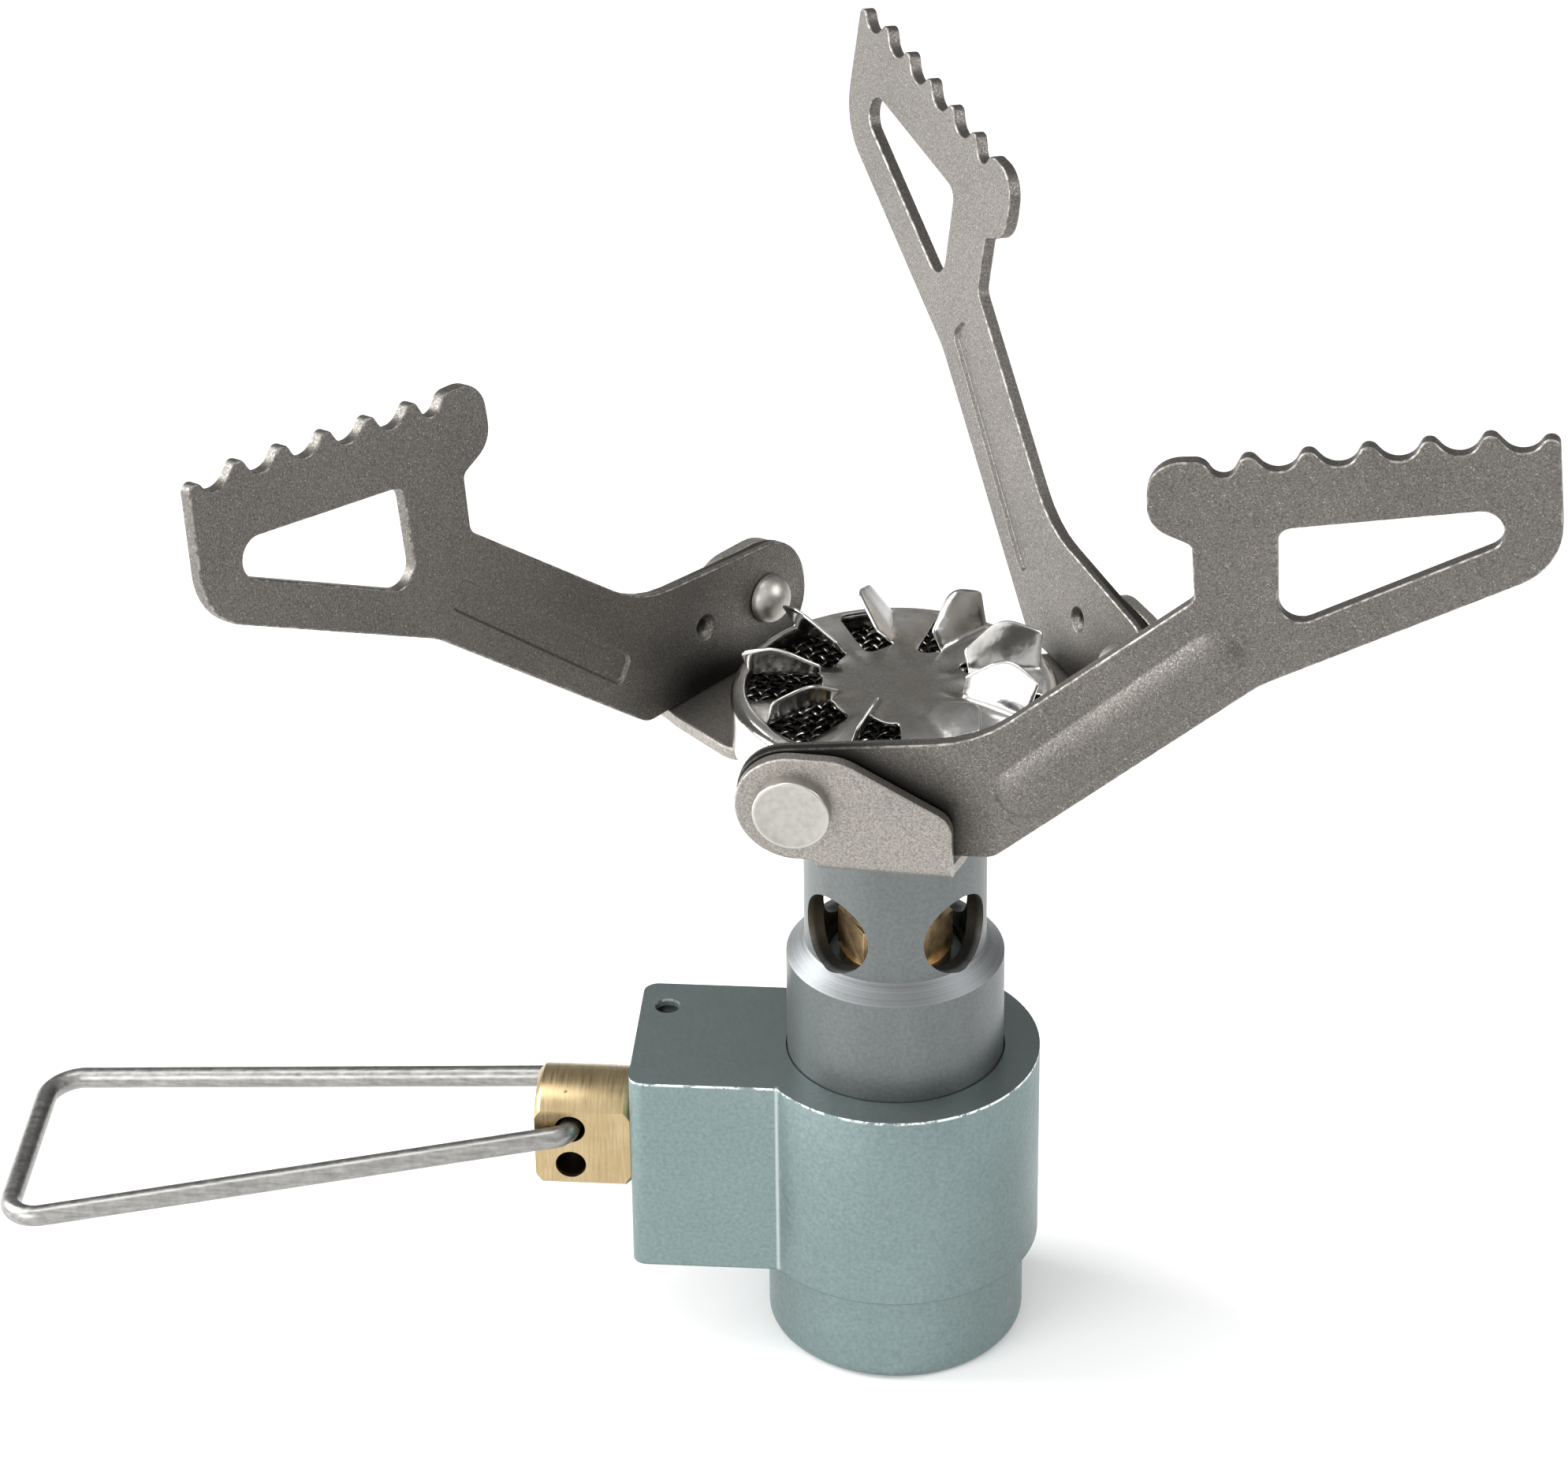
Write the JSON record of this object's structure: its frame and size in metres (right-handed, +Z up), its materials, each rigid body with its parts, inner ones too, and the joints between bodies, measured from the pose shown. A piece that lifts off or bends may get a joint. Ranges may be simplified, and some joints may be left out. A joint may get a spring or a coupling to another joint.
{
  "type": "camping stove",
  "caption": "Small canister-top gas burner with a threaded valve body, wire valve handle, finned burner head and toothed pot supports that fold on rivets.",
  "frame": {"origin": "centre of the collar's lower face, on the axis of the canister socket", "axes": "+Z up along the burner's axis, -X along the valve spindle towards the wire handle"},
  "size_m": [0.0904, 0.0641, 0.0703],
  "materials": {
    "anodised_teal": "fine blasted and anodised aluminium, grey-green, satin",
    "anodised_grey": "turned and anodised aluminium, grey, satin",
    "titanium": "bead-blasted titanium sheet, warm grey, matt with a fine sparkle",
    "head_steel": "polished stainless sheet",
    "gauze": "woven heat-resisting wire, oxidised dark",
    "wire_steel": "drawn stainless wire, satin",
    "steel": "bright steel",
    "rivet_steel": "pale satin steel",
    "brass": "turned brass, satin",
    "jet_brass": "turned brass",
    "sintered_bronze": "porous sintered bronze",
    "seal_rubber": "black nitrile"
  },
  "bodies": {
    "stove": {"valve_body": "anodised_teal", "canister_seal": "seal_rubber", "depressor_pin": "steel", "gas_filter": "sintered_bronze", "jet": "jet_brass", "burner_tube": "anodised_grey", "bracket": "titanium", "burner_cup": "head_steel", "clamp_ring": "steel", "flame_mesh": "gauze", "burner_cap": "head_steel", "retaining_pin": "steel", "support_rivet_front": "rivet_steel", "support_rivet_right": "rivet_steel", "support_rivet_left": "rivet_steel"},
    "valve_knob": {"spindle": "brass", "spindle_seals": "seal_rubber", "knob": "brass"},
    "handle": {"wire_handle": "wire_steel"},
    "support_front": {"pot_support_front": "titanium"},
    "support_right": {"pot_support_right": "titanium"},
    "support_left": {"pot_support_left": "titanium"}
  },
  "joints": [
    {"name": "valve_turn", "type": "hinge", "parent": "stove", "child": "valve_knob", "pos_m": [-0.01585, 0, 0.0127], "axis": [-1, 0, 0], "range_deg": [0, 540]},
    {"name": "handle_fold", "type": "hinge", "parent": "valve_knob", "child": "handle", "pos_m": [-0.0195, 0, 0.01398], "axis": [0, 1, 0], "range_deg": [-80, 90]},
    {"name": "fold_front", "type": "hinge", "parent": "stove", "child": "support_front", "pos_m": [-0.00475, -0.01238, 0.04398], "axis": [-0.0871, -0.9953, -0.0419], "range_deg": [0, 220]},
    {"name": "fold_right", "type": "hinge", "parent": "stove", "child": "support_right", "pos_m": [0.01318, 0.00313, 0.04392], "axis": [0.8677, 0.481, -0.1253], "range_deg": [0, 220]},
    {"name": "fold_left", "type": "hinge", "parent": "stove", "child": "support_left", "pos_m": [-0.00852, 0.0103, 0.04393], "axis": [-0.7937, 0.5981, -0.1115], "range_deg": [0, 220]}
  ],
  "couplings": [
    {"joint": "fold_right", "follows": "fold_front", "ratio": 1},
    {"joint": "fold_left", "follows": "fold_front", "ratio": 1}
  ]
}
